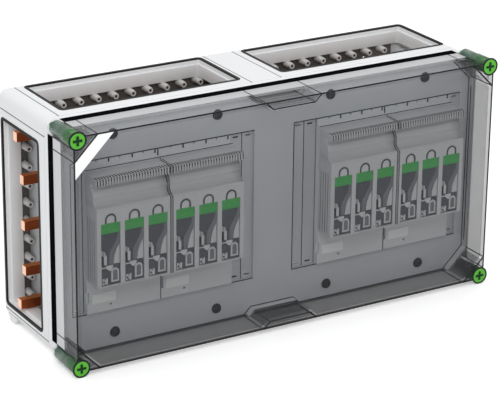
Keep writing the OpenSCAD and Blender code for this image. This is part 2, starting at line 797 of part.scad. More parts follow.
tag_bottom = window_top - 13;
cell_top = window_bottom + 25;
window_half = window_w / 2 - 0.3;

// outline of the light pieces in a window: foot, clip and the side of the fuse body
module window_islands() {
    translate([2 - window_w / 2, window_bottom + 1.2]) difference() {
        square([7, 8]);
        translate([2.4, -0.1]) square([2.2, 2.4]);
        translate([2.4, 5.8]) square([2.2, 2.4]);
    }
    translate([window_w / 2 - 7, window_bottom + 3.2]) union() {
        translate([-5.2, 0]) square([10.4, 13]);
        translate([0, 13]) circle(5.2);
    }
    polygon([[-8, cell_top + 1.6], [-5, cell_top + 1.6], [-5, cell_top + 14], [-8, cell_top + 12]]);
    polygon([[4, cell_top + 1.6], [window_half - 0.5, cell_top + 1.6], [window_half - 0.5, cell_top + 26],
             [8.5, cell_top + 21], [5.5, cell_top + 12]]);
}

// dark pieces in the windows: funnel over a cell, and the ring round the window's head
module window_shields(i) {
    color(dark) translate([unit_x[i], 0, 0]) for (x = pole_x) translate([x, 0, 0]) {
        along_y(y_face + 1.8, y_face + recess_d) difference() {
            union() {
                polygon([[-window_half, tag_bottom - 0.4], [window_half, tag_bottom - 0.4],
                         [window_half, tag_bottom - 14], [9, tag_bottom - 20], [3.4, tag_bottom - 30],
                         [3.4, cell_top + 1], [window_half, cell_top + 1],
                         [window_half, window_bottom + 0.4], [-window_half, window_bottom + 0.4],
                         [-window_half, cell_top + 1], [-4.4, cell_top + 1], [-4.4, tag_bottom - 27],
                         [-window_half, tag_bottom - 20]]);
            }
            shield_holes();
        }
        along_y(y_face - 0.4, y_face + recess_d) difference() {
            union() {
                translate([0, window_top + 4.6]) circle(7.4);
                translate([-7.4, window_top + 0.4]) square([14.8, 4.2]);
            }
            translate([0, window_top + 4.6]) circle(5.5);
            translate([-5.5, window_top]) square([11, 4.6]);
            translate([-9, window_top - 9.6]) square([18, 10]);
        }
    }
}

// the islands with clearance, as the holes that they stand in
module shield_holes() {
    translate([1.7 - window_w / 2, window_bottom + 0.9]) square([7.6, 8.6]);
    translate([window_w / 2 - 7, window_bottom + 3.2]) union() {
        translate([-5.5, -0.3]) square([11, 13.3]);
        translate([0, 13]) circle(5.5);
    }
}
module window_shields_1() { window_shields(0); }
module window_shields_2() { window_shields(1); }
module window_shields_3() { window_shields(2); }
module window_shields_4() { window_shields(3); }

// green grip tag of each fuse link, seen at the head of its window
module fuse_tags(i) {
    color(green) translate([unit_x[i], 0, 0]) for (x = pole_x)
        along_y(y_face + 0.6, y_face + recess_d) translate([x, 0])
            translate([-window_half, tag_bottom]) square([2 * window_half, window_top - tag_bottom]);
}
module fuse_tags_1() { fuse_tags(0); }
module fuse_tags_2() { fuse_tags(1); }
module fuse_tags_3() { fuse_tags(2); }
module fuse_tags_4() { fuse_tags(3); }

// ceramic bodies of the fuse links
module fuse_bodies(i) {
    color([0.9, 0.89, 0.85]) translate([unit_x[i], 0, 0]) for (x = pole_x)
        translate([x, fuse_y0 + fuse_d / 2, fuse_z - fuse_half]) linear_extrude(2 * fuse_half)
            round_rect(fuse_w, fuse_d, 4);
}
module fuse_bodies_1() { fuse_bodies(0); }
module fuse_bodies_2() { fuse_bodies(1); }
module fuse_bodies_3() { fuse_bodies(2); }
module fuse_bodies_4() { fuse_bodies(3); }

// end plates with the contact blades
module fuse_blades(i) {
    cap_t = 2;
    color(silver) translate([unit_x[i], 0, fuse_z]) for (x = pole_x, s = [-1, 1])
        mirror([0, 0, s > 0 ? 0 : 1]) translate([x, 0, 0]) union() {
            translate([0, fuse_y0 + fuse_d / 2, fuse_half]) linear_extrude(cap_t)
                round_rect(fuse_w - 1, fuse_d - 1, 3.5);
            translate([-blade_half, blade_y0, fuse_half + cap_t - eps])
                cube([2 * blade_half, blade_w, fuse_reach - fuse_half - cap_t]);
        }
}
module fuse_blades_1() { fuse_blades(0); }
module fuse_blades_2() { fuse_blades(1); }
module fuse_blades_3() { fuse_blades(2); }
module fuse_blades_4() { fuse_blades(3); }

// bare marking plate on the lower frame of each unit
module label_plate(i) {
    color([0.93, 0.93, 0.92]) translate([unit_x[i] - unit_w / 2 + 7.2, y_body - 0.4, body_bottom + 13.5])
        cube([32, 0.4, 12.5]);
}
module label_plate_1() { label_plate(0); }
module label_plate_2() { label_plate(1); }
module label_plate_3() { label_plate(2); }
module label_plate_4() { label_plate(3); }

base_shell();
top_seals();
bottom_seals();
side_seals();
lid();
lid_seal();
label_band();
lid_screw_1();
lid_screw_2();
lid_screw_3();
lid_screw_4();
cover_plate();
plate_plugs();
blanking_strips();
phase_bars();
neutral_bar();
earth_bar();
bar_supports();
switch_base_1();
switch_base_2();
switch_base_3();
switch_base_4();
contacts_1();
contacts_2();
contacts_3();
contacts_4();
switch_cover_1();
switch_cover_2();
switch_cover_3();
switch_cover_4();
window_shields_1();
window_shields_2();
window_shields_3();
window_shields_4();
fuse_tags_1();
fuse_tags_2();
fuse_tags_3();
fuse_tags_4();
fuse_bodies_1();
fuse_bodies_2();
fuse_bodies_3();
fuse_bodies_4();
fuse_blades_1();
fuse_blades_2();
fuse_blades_3();
fuse_blades_4();
label_plate_1();
label_plate_2();
label_plate_3();
label_plate_4();
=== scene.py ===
import bpy
import math
from mathutils import Matrix, Vector


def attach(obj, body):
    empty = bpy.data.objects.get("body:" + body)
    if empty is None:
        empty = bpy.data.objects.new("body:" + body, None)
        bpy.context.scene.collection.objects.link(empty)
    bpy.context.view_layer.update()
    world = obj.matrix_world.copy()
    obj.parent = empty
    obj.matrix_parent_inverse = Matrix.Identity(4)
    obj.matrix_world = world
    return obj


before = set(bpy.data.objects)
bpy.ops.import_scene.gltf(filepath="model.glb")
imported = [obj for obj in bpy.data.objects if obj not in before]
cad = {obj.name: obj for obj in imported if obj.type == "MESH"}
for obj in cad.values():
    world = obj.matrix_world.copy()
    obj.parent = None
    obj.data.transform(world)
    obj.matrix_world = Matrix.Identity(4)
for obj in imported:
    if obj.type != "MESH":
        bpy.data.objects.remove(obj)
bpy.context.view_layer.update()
print("frame loaded:", len(cad), "nodes")

# main sizes of the enclosure, in metres
box = {
    "halfWidth": 0.300, "halfHeight": 0.150, "front": -0.205, "cut": 0.031, "notchHalf": 0.0395,
    "notchDeep": 0.0093, "screwIn": 0.0048, "tubeEnd": -0.148, "plate": -0.159, "bossTip": -0.021,
}
unit = {
    "centres": (-0.216, -0.114, 0.114, 0.216), "between": 0.165, "width": 0.101, "face": -0.194,
    "body": -0.165, "lip": 0.079, "top": 0.088, "bodyTop": 0.092, "bodyFoot": -0.097, "ribs": 27,
    "pole": 0.032,
}
fields = {"inner": 0.0288, "outer": 0.2832, "top": 0.100, "bottom": -0.0985}
corners = ((-1, 1), (1, 1), (-1, -1), (1, -1))  # top left, top right, bottom left, bottom right
toFront = (0, -1, 0)


# node helpers
def newMaterial(name):
    mat = bpy.data.materials.new(name)
    mat.use_nodes = True
    tree = mat.node_tree
    tree.nodes.clear()
    out = tree.nodes.new("ShaderNodeOutputMaterial")
    shader = tree.nodes.new("ShaderNodeBsdfPrincipled")
    tree.links.new(shader.outputs[0], out.inputs[0])
    return mat, tree, shader


def newGroup(name, inputs, outputs):
    # inputs give each label its default value: a colour is a tuple, the rest are numbers
    group = bpy.data.node_groups.new(name, "ShaderNodeTree")
    for label, value in inputs.items():
        kind = "NodeSocketColor" if isinstance(value, tuple) else "NodeSocketFloat"
        sock = group.interface.new_socket(label, in_out="INPUT", socket_type=kind)
        sock.default_value = value
    for label in outputs:
        kind = "NodeSocketColor" if label == "Colour" else "NodeSocketFloat"
        group.interface.new_socket(label, in_out="OUTPUT", socket_type=kind)
    return group, group.nodes.new("NodeGroupInput"), group.nodes.new("NodeGroupOutput")


def plug(tree, sock, value):
    # a number or tuple is set on the socket, an output is linked to it
    if isinstance(value, (int, float, tuple)):
        sock.default_value = value
    else:
        tree.links.new(value, sock)


def addMath(tree, kind, a, b=None, clamp=False):
    node = tree.nodes.new("ShaderNodeMath")
    node.operation = kind
    node.use_clamp = clamp
    plug(tree, node.inputs[0], a)
    if b is not None:
        plug(tree, node.inputs[1], b)
    return node.outputs[0]


def addProduct(tree, first, *others):
    for other in others:
        first = addMath(tree, "MULTIPLY", first, other)
    return first


def addRamp(tree, value, low, high):
    # rises from 0 at low to 1 at high
    node = tree.nodes.new("ShaderNodeMapRange")
    plug(tree, node.inputs[0], value)
    plug(tree, node.inputs[1], low)
    plug(tree, node.inputs[2], high)
    return node.outputs[0]


def addMix(tree, factor, a, b, blend="MIX"):
    node = tree.nodes.new("ShaderNodeMix")
    node.data_type = "RGBA"
    node.blend_type = blend
    plug(tree, node.inputs[0], factor)
    plug(tree, node.inputs[6], a)
    plug(tree, node.inputs[7], b)
    return node.outputs[2]


def addNoise(tree, scale, detail=2.0, stretch=None):
    coord = tree.nodes.new("ShaderNodeTexCoord")
    noise = tree.nodes.new("ShaderNodeTexNoise")
    noise.inputs["Detail"].default_value = detail
    source = coord.outputs["Object"]
    if stretch:
        mapping = tree.nodes.new("ShaderNodeMapping")
        mapping.inputs["Scale"].default_value = stretch
        tree.links.new(source, mapping.inputs["Vector"])
        source = mapping.outputs[0]
    tree.links.new(source, noise.inputs["Vector"])
    plug(tree, noise.inputs["Scale"], scale)
    return noise.outputs["Fac"]


def splitPlace(tree):
    # where a point of the object lies, as X, Y and Z in metres
    coord = tree.nodes.new("ShaderNodeTexCoord")
    split = tree.nodes.new("ShaderNodeSeparateXYZ")
    tree.links.new(coord.outputs["Object"], split.inputs[0])
    return split.outputs


def splitNormal(tree):
    # which way the surface faces, as X, Y and Z
    geo = tree.nodes.new("ShaderNodeNewGeometry")
    split = tree.nodes.new("ShaderNodeSeparateXYZ")
    tree.links.new(geo.outputs["Normal"], split.inputs[0])
    return split.outputs


def addWithin(tree, value, reach):
    # 1 where a coordinate is nearer to the middle than reach
    return addMath(tree, "LESS_THAN", addMath(tree, "ABSOLUTE", value), reach)


def addWave(tree, noise, strength):
    # noise turned into a swing about 0
    return addMath(tree, "MULTIPLY", addMath(tree, "SUBTRACT", noise, 0.5), strength)


def rgba(c):
    return (c[0], c[1], c[2], 1.0)


# shared effects
def makeMouldedGroup():
    # soft cloudy tone, fine spark-eroded grain, dust settled on upward faces
    spec = {"cloudScale": 9.0, "cloudDetail": 4.0, "dustScale": 240.0, "dustDetail": 3.0,
            "dust": (0.72, 0.71, 0.69), "roughSwing": 0.16}
    group, gin, gout = newGroup(
        "mouldedPlastic",
        {"Colour": (0.8, 0.8, 0.8, 1), "Cloud": 0.06, "Grain Scale": 900.0, "Roughness": 0.45, "Dust": 0.03},
        ("Colour", "Roughness", "Height"))
    cloud = addNoise(group, spec["cloudScale"], spec["cloudDetail"])
    bright = addMath(group, "ADD", addWave(group, cloud, gin.outputs["Cloud"]), 1.0)
    grey = group.nodes.new("ShaderNodeCombineColor")
    for i in range(3):
        group.links.new(bright, grey.inputs[i])
    toned = addMix(group, 1.0, gin.outputs["Colour"], grey.outputs[0], "MULTIPLY")
    speck = addNoise(group, spec["dustScale"], spec["dustDetail"])
    settled = addMath(group, "MULTIPLY", splitNormal(group)[2], gin.outputs["Dust"], True)
    dusted = addMix(group, addMath(group, "MULTIPLY", settled, speck), toned, rgba(spec["dust"]))
    grain = addNoise(group, gin.outputs["Grain Scale"])
    rough = addMath(group, "ADD", gin.outputs["Roughness"], addWave(group, grain, spec["roughSwing"]))
    group.links.new(dusted, gout.inputs["Colour"])
    group.links.new(rough, gout.inputs["Roughness"])
    group.links.new(grain, gout.inputs["Height"])
    return group


def makeDrawnGroup():
    # streaks along X from drawing or rolling, with slight tarnish
    spec = {"streakScale": 60.0, "streakDetail": 3.0, "stretch": (0.4, 14.0, 14.0), "blotScale": 14.0,
            "blotDetail": 4.0, "roughSwing": 0.2}
    group, gin, gout = newGroup(
        "drawnMetal",
        {"Colour": (0.8, 0.4, 0.2, 1), "Tarnish": (0.4, 0.2, 0.1, 1), "Amount": 0.3, "Roughness": 0.35},
        ("Colour", "Roughness", "Height"))
    streak = addNoise(group, spec["streakScale"], spec["streakDetail"], spec["stretch"])
    blot = addNoise(group, spec["blotScale"], spec["blotDetail"])
    amount = addMath(group, "MULTIPLY", addMath(group, "MULTIPLY", streak, blot), gin.outputs["Amount"], True)
    colour = addMix(group, amount, gin.outputs["Colour"], gin.outputs["Tarnish"])
    swing = addMath(group, "MULTIPLY", streak, spec["roughSwing"])
    group.links.new(colour, gout.inputs["Colour"])
    group.links.new(addMath(group, "ADD", gin.outputs["Roughness"], swing), gout.inputs["Roughness"])
    group.links.new(streak, gout.inputs["Height"])
    return group


def makeDepthGroup():
    # mask that rises from 0 at Start to 1 at End along Y, in metres
    group, gin, gout = newGroup("depthMask", {"Start": 0.0, "End": 1.0}, ("Mask",))
    mask = addRamp(group, splitPlace(group)[1], gin.outputs["Start"], gin.outputs["End"])
    group.links.new(mask, gout.inputs["Mask"])
    return group


def makeWallGroup():
    # density of a smoked wall by the way it faces: front, side, top or bottom of the lid; painted shade makes
    # the bottom denser than the top
    group, gin, gout = newGroup(
        "wallDensity", {"Front": 0.3, "Side": 0.1, "Top": 0.2, "Bottom": 0.5}, ("Density", "Sideways"))
    facing = splitNormal(group)
    share = [addMath(group, "MULTIPLY", facing[k], facing[k]) for k in range(3)]
    low = addMath(group, "LESS_THAN", splitPlace(group)[2], 0.0)
    extra = addMath(group, "SUBTRACT", gin.outputs["Bottom"], gin.outputs["Top"])
    upright = addMath(group, "ADD", gin.outputs["Top"], addMath(group, "MULTIPLY", low, extra))
    total = addMath(group, "MULTIPLY", share[1], gin.outputs["Front"])
    total = addMath(group, "ADD", total, addMath(group, "MULTIPLY", share[0], gin.outputs["Side"]))
    total = addMath(group, "ADD", total, addMath(group, "MULTIPLY", share[2], upright))
    group.links.new(total, gout.inputs["Density"])
    group.links.new(share[0], gout.inputs["Sideways"])
    return group


mouldedGroup = makeMouldedGroup()
drawnGroup = makeDrawnGroup()
depthGroup = makeDepthGroup()
wallGroup = makeWallGroup()


def placeGroup(tree, group, **values):
    node = tree.nodes.new("ShaderNodeGroup")
    node.node_tree = group
    for label, value in values.items():
        plug(tree, node.inputs[label.replace("_", " ")], value)
    return node


def addDepth(tree, start, end):
    return placeGroup(tree, depthGroup, Start=start, End=end).outputs["Mask"]


def takeGroup(tree, shader, node, strength, distance):
    # a group's colour, roughness and height, as base colour, roughness and bump of the shader
    bump = tree.nodes.new("ShaderNodeBump")
    bump.inputs["Strength"].default_value = strength
    bump.inputs["Distance"].default_value = distance
    tree.links.new(node.outputs["Colour"], shader.inputs["Base Color"])
    tree.links.new(node.outputs["Roughness"], shader.inputs["Roughness"])
    tree.links.new(node.outputs["Height"], bump.inputs["Height"])
    tree.links.new(bump.outputs[0], shader.inputs["Normal"])


# finish of each moulded piece: a grain is finer with a higher number
grainDepth = 0.0004
mouldings = {
    "shellWhite": {"colour": (0.80, 0.81, 0.82), "cloud": 0.05, "grain": 1400.0, "rough": 0.42,
                   "dust": 0.05, "bump": 0.10},
    "sealBlack": {"colour": (0.012, 0.012, 0.013), "cloud": 0.3, "grain": 700.0, "rough": 0.6,
                  "dust": 0.02, "bump": 0.2, "gloss": 0.15},
    "plateGrey": {"colour": (0.63, 0.65, 0.68), "cloud": 0.05, "grain": 1600.0, "rough": 0.5,
                  "dust": 0.03, "bump": 0.10},
    "stripGrey": {"colour": (0.62, 0.64, 0.67), "cloud": 0.05, "grain": 1600.0, "rough": 0.5,
                  "dust": 0.03, "bump": 0.10},
    "plugDark": {"colour": (0.02, 0.022, 0.025), "cloud": 0.2, "grain": 900.0, "rough": 0.5,
                 "dust": 0.0, "bump": 0.15},
    "carrierGrey": {"colour": (0.42, 0.43, 0.44), "cloud": 0.08, "grain": 1200.0, "rough": 0.5,
                    "dust": 0.05, "bump": 0.12},
    "switchGrey": {"colour": (0.75, 0.77, 0.79), "cloud": 0.05, "grain": 1800.0, "rough": 0.48,
                   "dust": 0.03, "bump": 0.10},
    "coverGrey": {"colour": (0.65, 0.665, 0.68), "cloud": 0.05, "grain": 1800.0, "rough": 0.45,
                  "dust": 0.03, "bump": 0.10},
    # a lighter copy of the dark shield grey, painted light in the windows
    "shieldLight": {"colour": (0.20, 0.21, 0.235), "cloud": 0.1, "grain": 1500.0, "rough": 0.5,
                    "dust": 0.0, "bump": 0.12},
    "insertGrey": {"colour": (0.72, 0.73, 0.74), "cloud": 0.05, "grain": 1800.0, "rough": 0.45,
                   "dust": 0.0, "bump": 0.10},
    "shieldDark": {"colour": (0.085, 0.092, 0.11), "cloud": 0.15, "grain": 1500.0, "rough": 0.5,
                   "dust": 0.0, "bump": 0.12},
    "tagGreen": {"colour": (0.06, 0.42, 0.09), "cloud": 0.1, "grain": 1200.0, "rough": 0.4,
                 "dust": 0.0, "bump": 0.1},
    "labelWhite": {"colour": (0.97, 0.98, 0.97), "cloud": 0.02, "grain": 2500.0, "rough": 0.55,
                   "dust": 0.0, "bump": 0.05},
    "fuseCeramic": {"colour": (0.78, 0.77, 0.72), "cloud": 0.06, "grain": 600.0, "rough": 0.65,
                    "dust": 0.0, "bump": 0.2},
}
# metals: colour of the edges, of the front, darker as painted shade, and of the ends, lighter as painted
# light
metals = {
    "barCopper": {"colour": (0.74, 0.24, 0.07), "front": (0.33, 0.080, 0.028), "litEnd": (0.95, 0.62, 0.44),
                  "tarnish": (0.30, 0.08, 0.03), "amount": 0.7, "rough": 0.32},
    "contactSilver": {"colour": (0.72, 0.72, 0.72), "front": (0.70, 0.70, 0.70), "litEnd": (0.76, 0.76, 0.76),
                      "tarnish": (0.45, 0.43, 0.38), "amount": 0.4, "rough": 0.28},
}
# fine lines and painted shade in hollows: colour, roughness, gloss
plains = {
    "edgeDark": ((0.008, 0.008, 0.010), 0.4, 0.2),
    "gasketDark": ((0.004, 0.004, 0.005), 0.9, 0.0),
    "clipHollowShade": ((0.20, 0.21, 0.23), 0.6, 0.5),
    "crossSlotShade": ((0.003, 0.028, 0.006), 0.6, 0.2),
    "grooveGrey": ((0.13, 0.13, 0.13), 0.7, 0.2),
    "ventGrey": ((0.25, 0.26, 0.27), 0.6, 0.5),
    "shadowDark": ((0.030, 0.032, 0.037), 0.7, 0.2),
}


def dressMoulding(tree, shader, colour, spec):
    node = placeGroup(tree, mouldedGroup, Colour=colour, Cloud=spec["cloud"], Grain_Scale=spec["grain"],
                      Roughness=spec["rough"], Dust=spec["dust"])
    takeGroup(tree, shader, node, spec["bump"], grainDepth)


def makeMoulding(name):
    spec = mouldings[name]
    mat, tree, shader = newMaterial(name)
    dressMoulding(tree, shader, rgba(spec["colour"]), spec)
    shader.inputs["Specular IOR Level"].default_value = spec.get("gloss", 0.5)
    return mat


def makeMetal(name):
    spec = metals[name]
    streak = {"bump": 0.08, "depth": 0.0003}
    mat, tree, shader = newMaterial(name)
    facing = splitNormal(tree)
    # painted light and shade by facing: the ends facing X lighter, the front darker
    litEnd = addMath(tree, "MULTIPLY", facing[0], facing[0])
    shadedFront = addMath(tree, "MULTIPLY", facing[1], facing[1])
    colour = addMix(tree, shadedFront, rgba(spec["colour"]), rgba(spec["front"]))
    colour = addMix(tree, litEnd, colour, rgba(spec["litEnd"]))
    node = placeGroup(tree, drawnGroup, Colour=colour, Tarnish=rgba(spec["tarnish"]),
                      Amount=spec["amount"], Roughness=spec["rough"])
    shader.inputs["Metallic"].default_value = 1.0
    takeGroup(tree, shader, node, streak["bump"], streak["depth"])
    return mat


def makePlain(name):
    colour, rough, gloss = plains[name]
    mat, tree, shader = newMaterial(name)
    shader.inputs["Base Color"].default_value = rgba(colour)
    shader.inputs["Roughness"].default_value = rough
    shader.inputs["Specular IOR Level"].default_value = gloss
    return mat


def makeShell():
    # the moulded white of the base, with painted shade: the floor in deep shade and the walls darker inwards
    spec = mouldings["shellWhite"]
    inside = {"x": 0.2785, "z": 0.1285, "floor": -0.0052, "rear": -0.001, "front": -0.112,
              "from": 0.006, "to": 0.026, "shade": (0.10, 0.095, 0.09), "wall": (0.50, 0.495, 0.485)}
    mat, tree, shader = newMaterial("shellInside")
    x, y, z = splitPlace(tree)
    deep = addMath(tree, "GREATER_THAN", y, inside["floor"])
    ahead = addMath(tree, "LESS_THAN", y, inside["rear"])
    onFloor = addProduct(tree, addWithin(tree, x, inside["x"]), addWithin(tree, z, inside["z"]), deep, ahead)
    toSide = addMath(tree, "SUBTRACT", box["halfWidth"], addMath(tree, "ABSOLUTE", x))
    toTop = addMath(tree, "SUBTRACT", box["halfHeight"], addMath(tree, "ABSOLUTE", z))
    inward = addRamp(tree, addMath(tree, "MINIMUM", toSide, toTop), inside["from"], inside["to"])
    behind = addMath(tree, "GREATER_THAN", y, inside["front"])
    paintedWallShade = addProduct(tree, inward, behind, ahead)
    colour = addMix(tree, paintedWallShade, rgba(spec["colour"]), rgba(inside["wall"]))
    dressMoulding(tree, shader, addMix(tree, onFloor, colour, rgba(inside["shade"])), spec)
    return mat


def makeCover():
    # the moulded grey of the covers, in shade along the foot of the grip and at its right cheek
    spec = mouldings["coverGrey"]
    grip = {"foot": 0.0535, "spread": 0.0075, "footShade": 0.30, "low": 0.050, "high": 0.0785,
            "cheek": 0.84, "cheekShade": 0.8, "outer": 0.2667, "between": 0.33, "pitch": 0.1017,
            "shade": (0.30, 0.31, 0.32)}
    mat, tree, shader = newMaterial("coverShaded")
    x, y, z = splitPlace(tree)
    away = addMath(tree, "ABSOLUTE", addMath(tree, "SUBTRACT", z, grip["foot"]))
    foot = addMath(tree, "SUBTRACT", 1.0, addMath(tree, "DIVIDE", away, grip["spread"]), True)
    shift = addMath(tree, "MULTIPLY", addMath(tree, "GREATER_THAN", x, 0.0), -grip["between"])
    along = addMath(tree, "ADD", addMath(tree, "ADD", x, grip["outer"]), shift)
    local = addMath(tree, "FRACT", addMath(tree, "DIVIDE", along, grip["pitch"]))
    above = addMath(tree, "GREATER_THAN", z, grip["low"])
    below = addMath(tree, "LESS_THAN", z, grip["high"])
    cheek = addProduct(tree, addRamp(tree, local, grip["cheek"], 1.0), above, below, grip["cheekShade"])
    shade = addMath(tree, "MAXIMUM", addMath(tree, "MULTIPLY", foot, grip["footShade"]), cheek)
    dressMoulding(tree, shader, addMix(tree, shade, rgba(spec["colour"]), rgba(grip["shade"])), spec)
    return mat


def makeScrewGreen():
    # bright head that darkens to deep green in its cross slot and along the shank, as painted shade
    spec = {"bright": (0.075, 0.44, 0.012), "deep": (0.002, 0.05, 0.006), "slotFrom": -0.2044,
            "slotTo": -0.2030, "cloud": 0.35, "grain": 700.0, "rough": 0.35, "dust": 0.0, "bump": 0.1}
    mat, tree, shader = newMaterial("screwGreen")
    deep = addDepth(tree, spec["slotFrom"], spec["slotTo"])
    dressMoulding(tree, shader, addMix(tree, deep, rgba(spec["bright"]), rgba(spec["deep"])), spec)
    return mat


def makeSmokedLid():
    # clear smoked polycarbonate: it darkens what lies behind and takes clean reflections
    # the side, top and bottom densities and the side colour paint light and shade by facing: the bottom
    # darker, the top and sides lighter
    spec = {"front": 0.23, "side": 0.33, "top": 0.12, "bottom": 0.40, "colour": (0.030, 0.032, 0.036),
            "sideLitColour": (0.20, 0.205, 0.215), "rough": 0.12, "gloss": 0.25, "hazeScale": 4.0, "haze": 0.04}
    # a pale dense band at the foot of the wall: painted light over the dark hollow behind it
    foot = {"colour": (0.66, 0.67, 0.685), "density": 0.60, "from": -0.1605, "to": -0.1590,
            "wideFrom": -0.1700, "wideTo": -0.1685, "low": -0.1455}
    tube = {"x": 0.2835, "z": 0.1335, "density": 0.30}
    rim = {"face": -0.2045, "x": 0.2950, "z": 0.1460, "density": 0.15, "lower": 0.35}
    mat, tree, shader = newMaterial("smokedLid")
    walls = placeGroup(tree, wallGroup, Front=spec["front"], Side=spec["side"], Top=spec["top"],
                       Bottom=spec["bottom"])
    x, y, z = splitPlace(tree)
    # the wall's foot is painted pale as painted light over the dark hollow behind it, wider on the top and
    # the sides, and the screw tubes stay clear
    offTube = addMath(tree, "MAXIMUM", addWithin(tree, x, tube["x"]), addWithin(tree, z, tube["z"]))
    aboveLow = addMath(tree, "GREATER_THAN", z, foot["low"])
    wide = addMath(tree, "MULTIPLY", addDepth(tree, foot["wideFrom"], foot["wideTo"]), aboveLow)
    paintedFootLight = addMath(tree, "MAXIMUM", addDepth(tree, foot["from"], foot["to"]), wide)
    paintedFootLight = addMath(tree, "MULTIPLY", paintedFootLight, offTube)
    # the rim of the face is denser, as painted shade where it looks into the thickness of the wall, and
    # denser still along the bottom
    inner = addMath(tree, "MULTIPLY", addWithin(tree, x, rim["x"]), addWithin(tree, z, rim["z"]))
    onFace = addMath(tree, "LESS_THAN", y, rim["face"])
    onRim = addMath(tree, "MULTIPLY", addMath(tree, "SUBTRACT", 1.0, inner), onFace)
    lower = addMath(tree, "MULTIPLY", addMath(tree, "SUBTRACT", 1.0, aboveLow), rim["lower"])
    rimVeil = addMath(tree, "MULTIPLY", onRim, addMath(tree, "ADD", lower, rim["density"]))
    haze = addWave(tree, addNoise(tree, spec["hazeScale"]), spec["haze"])
    veil = addMath(tree, "ADD", haze, walls.outputs["Density"], True)
    veil = addMath(tree, "ADD", veil, addMath(tree, "MULTIPLY", paintedFootLight, foot["density"]), True)
    veil = addMath(tree, "ADD", veil, rimVeil, True)
    veil = addMath(tree, "MULTIPLY", veil, addMath(tree, "MAXIMUM", offTube, tube["density"]))
    tree.links.new(veil, shader.inputs["Alpha"])
    colour = addMix(tree, walls.outputs["Sideways"], rgba(spec["colour"]), rgba(spec["sideLitColour"]))
    tree.links.new(addMix(tree, paintedFootLight, colour, rgba(foot["colour"])), shader.inputs["Base Color"])
    shader.inputs["Roughness"].default_value = spec["rough"]
    shader.inputs["Specular IOR Level"].default_value = spec["gloss"]
    mat.surface_render_method = "BLENDED"
    return mat


def makeTubeGreen():
    # painted refraction: the green of the screw shank spread through its clear tube, darker towards the back
    spec = {"near": (0.045, 0.36, 0.035), "far": (0.002, 0.13, 0.055), "from": -0.201, "to": -0.168,
            "density": 0.93, "rough": 0.2, "streak": (0.0, 0.03, 0.008), "streakScale": 60.0,
            "streakDetail": 3.0, "stretch": (10.0, 0.6, 10.0)}
    mat, tree, shader = newMaterial("tubeGreen")
    far = addDepth(tree, spec["from"], spec["to"])
    colour = addMix(tree, far, rgba(spec["near"]), rgba(spec["far"]))
    streak = addNoise(tree, spec["streakScale"], spec["streakDetail"], spec["stretch"])
    tree.links.new(addMix(tree, streak, colour, rgba(spec["streak"])), shader.inputs["Base Color"])
    shader.inputs["Alpha"].default_value = spec["density"]
    shader.inputs["Roughness"].default_value = spec["rough"]
    mat.surface_render_method = "BLENDED"
    return mat


shadedMouldings = ("shellWhite", "coverGrey")  # worn only in the shaded forms of makeShell and makeCover
finish = {name: makeMoulding(name) for name in mouldings if name not in shadedMouldings}
finish.update({name: makeMetal(name) for name in metals})
finish.update({name: makePlain(name) for name in plains})
for special in (makeShell(), makeCover(), makeScrewGreen(), makeSmokedLid(), makeTubeGreen()):
    finish[special.name] = special

# which finish each carried-over piece takes
nodeFinish = {
    "base_shell": "shellInside", "top_seals": "sealBlack", "bottom_seals": "sealBlack",
    "side_seals": "sealBlack", "lid": "smokedLid", "lid_seal": "sealBlack", "label_band": "labelWhite",
    "cover_plate": "plateGrey", "plate_plugs": "plugDark", "blanking_strips": "stripGrey",
    "phase_bars": "barCopper", "neutral_bar": "barCopper", "earth_bar": "barCopper",
    "bar_supports": "carrierGrey", "lid_screw": "screwGreen", "switch_base": "switchGrey",
    "contacts": "contactSilver", "switch_cover": "coverShaded", "window_shields": "shieldDark",
    "fuse_tags": "tagGreen", "fuse_bodies": "fuseCeramic", "fuse_blades": "contactSilver",
    "label_plate": "labelWhite",
}
for name, obj in cad.items():
    stem = name if name in nodeFinish else name.rsplit("_", 1)[0]
    for slotItem in obj.material_slots:
        slotItem.material = finish[nodeFinish[stem]]
print("finishes on", len(cad), "carried pieces")


# mesh helpers: a shape is a list of points and a list of faces
def newShape():
    return [], []


def meshPiece(name, shape, look, body):
    mesh = bpy.data.meshes.new(name)
    mesh.from_pydata(shape[0], [], shape[1])
    mesh.validate()
    obj = bpy.data.objects.new(name, mesh)
    bpy.context.scene.collection.objects.link(obj)
    mesh.materials.append(finish[look])
    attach(obj, body)
    return obj


def addBar(shape, a, b, width, height, normal):
    # a thin bar from a to b, width across, height along the face normal
    points, faces = shape
    a, b, normal = Vector(a), Vector(b), Vector(normal)
    along = (b - a).normalized()
    side = along.cross(normal).normalized() * width / 2
    up = normal.normalized() * height / 2
    s = len(points)
    for p in (a, b):
        for across, rise in ((-1, -1), (1, -1), (1, 1), (-1, 1)):
            points.append(tuple(p + side * across + up * rise))
    faces += [(s, s + 3, s + 2, s + 1), (s + 4, s + 5, s + 6, s + 7)]
    for k in range(4):
        faces.append((s + k, s + (k + 1) % 4, s + 4 + (k + 1) % 4, s + 4 + k))


def addFace(shape, outline, y):
    # a flat face from an outline in X and Z
    start = len(shape[0])
    shape[0].extend((x, y, z) for x, z in outline)
    shape[1].append(tuple(range(start, start + len(outline))))


def addPrism(shape, outline, front, back):
    # an outline in X and Z, from its front face straight back, open behind
    points, faces = shape
    start, n = len(points), len(outline)
    addFace(shape, outline, front)
    points.extend((x, back, z) for x, z in outline)
    for k in range(n):
        j = (k + 1) % n
        faces.append((start + k, start + n + k, start + n + j, start + j))


def circlePoints(x, z, radius, steps):
    turns = [2 * math.pi * k / steps for k in range(steps)]
    return [(x + radius * math.cos(a), z + radius * math.sin(a)) for a in turns]


